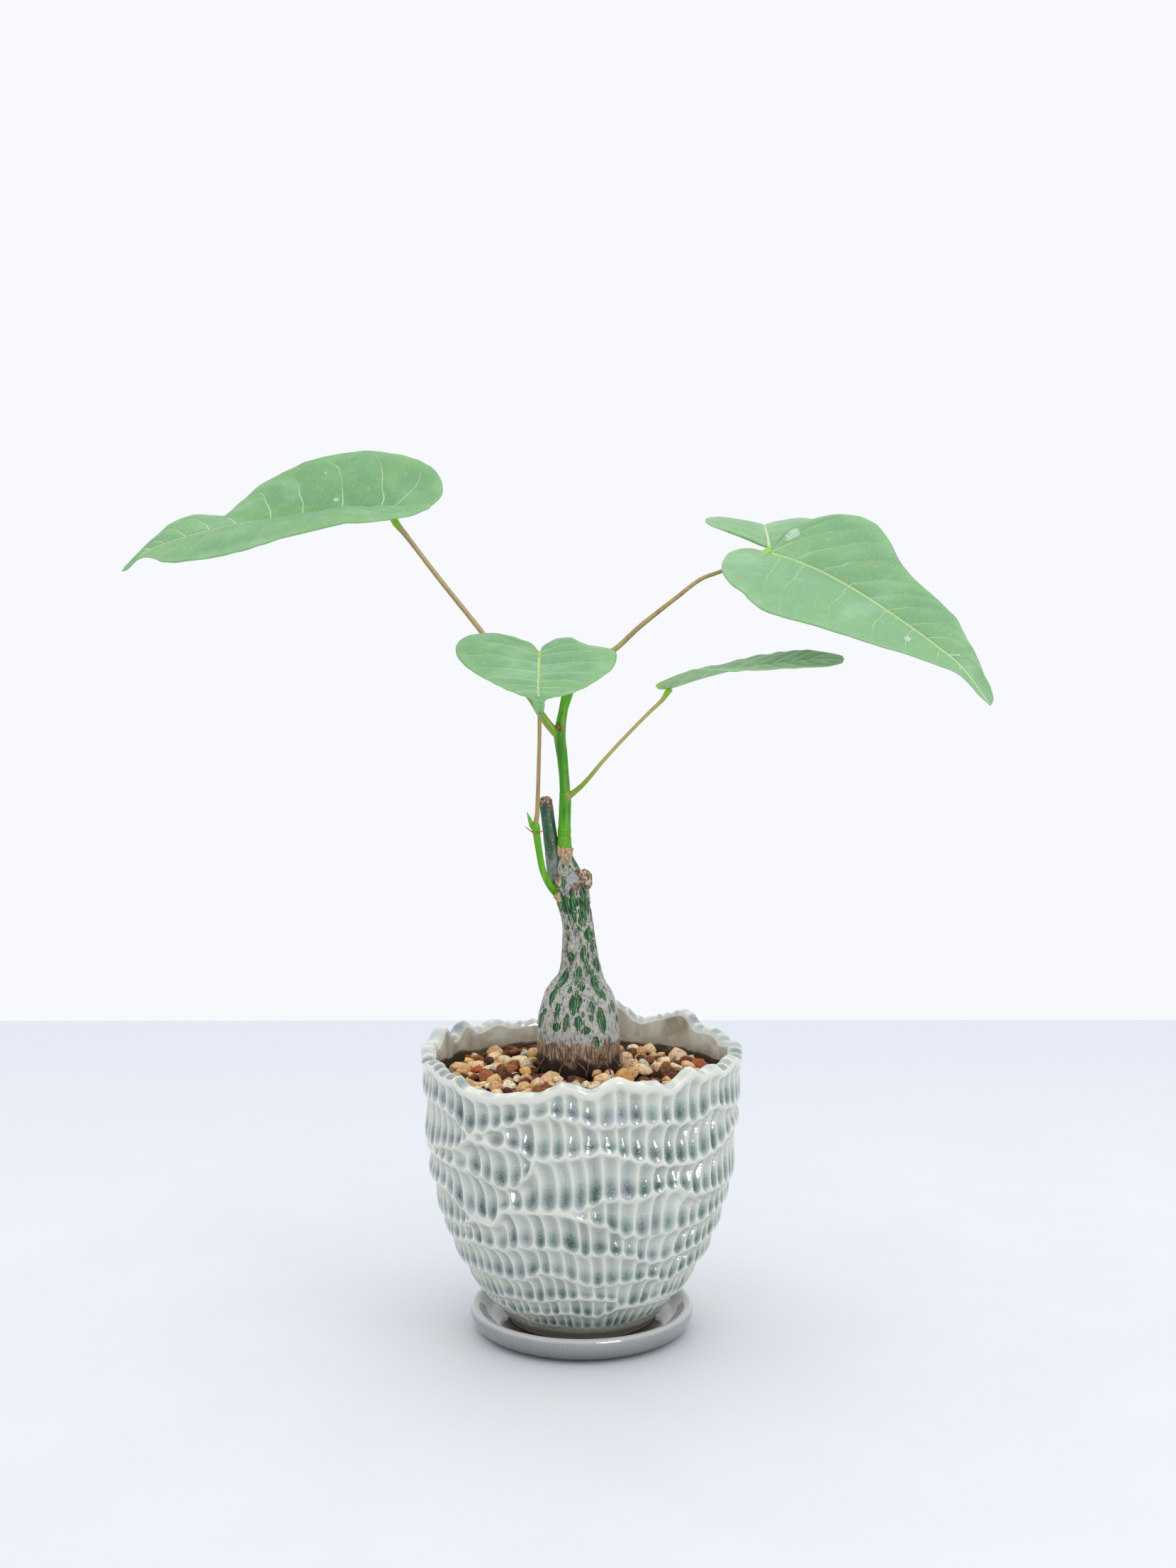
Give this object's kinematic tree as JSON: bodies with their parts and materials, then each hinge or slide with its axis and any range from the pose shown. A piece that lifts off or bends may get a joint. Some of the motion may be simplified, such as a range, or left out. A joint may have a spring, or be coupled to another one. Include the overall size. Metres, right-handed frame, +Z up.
{
  "type": "potted caudex plant",
  "caption": "Young bombax seedling with a swollen caudex and heart-shaped leaves, in a fluted glazed bowl on a round saucer.",
  "frame": {"origin": "on the table, at the centre of the saucer's flat underside", "axes": "+Z up, -Y towards the side the picture shows, +X to its right"},
  "size_m": [0.3006, 0.1163, 0.321],
  "materials": {
    "saucer_glaze": "satin grey glaze",
    "bowl_glaze": "glossy grey-green celadon glaze, cream where it thins on the ridges",
    "net_plastic": "matt",
    "grit": "rough pumice and fired clay grains",
    "bark": "papery grey bark with dark green windows",
    "green_stem": "smooth, slightly glossy green",
    "leaf_stalk": "smooth brownish green",
    "leaf_blade": "thin satin leaf with pale veins"
  },
  "bodies": {
    "root": {"saucer": "saucer_glaze", "bowl": "bowl_glaze", "drain_net": "net_plastic", "soil": "grit", "caudex": "bark", "main_shoot": "green_stem", "side_shoot": "green_stem", "petiole_left": "leaf_stalk", "petiole_right": "leaf_stalk", "petiole_low_right": "leaf_stalk", "petiole_front": "leaf_stalk", "leaf_left": "leaf_blade", "leaf_front": "leaf_blade", "leaflet_right_large": "leaf_blade", "leaflet_right_small": "leaf_blade", "leaf_low_right": "leaf_blade"}
  },
  "joints": []
}
